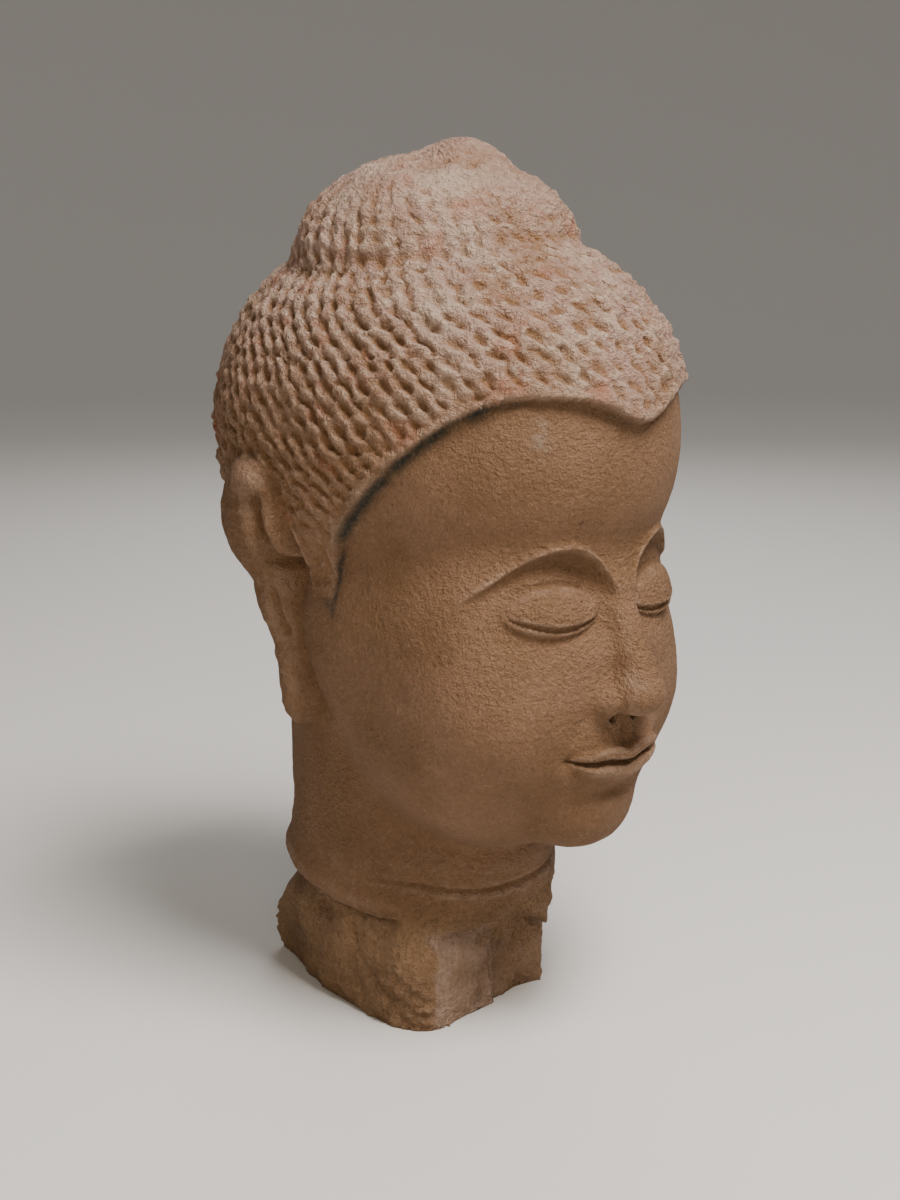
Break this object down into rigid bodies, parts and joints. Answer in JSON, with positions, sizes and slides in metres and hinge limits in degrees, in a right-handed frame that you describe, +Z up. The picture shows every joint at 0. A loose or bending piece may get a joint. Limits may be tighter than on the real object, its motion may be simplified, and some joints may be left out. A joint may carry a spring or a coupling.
{
  "type": "stone buddha head",
  "caption": "Carved stone head with rows of small pointed curls, raised crown, long ears and calm face, broken at the neck and cut flat below.",
  "frame": {"origin": "middle of the flat underside of the broken neck", "axes": "+Z up to the crown, the face looks along -Y, the head's own left side is +X"},
  "size_m": [0.3446, 0.4097, 0.6555],
  "materials": {
    "sandstone": "worn, fine-grained, warm tan-brown sandstone, matt and unpolished"
  },
  "bodies": {
    "root": {"stone_head": "sandstone"}
  },
  "joints": []
}
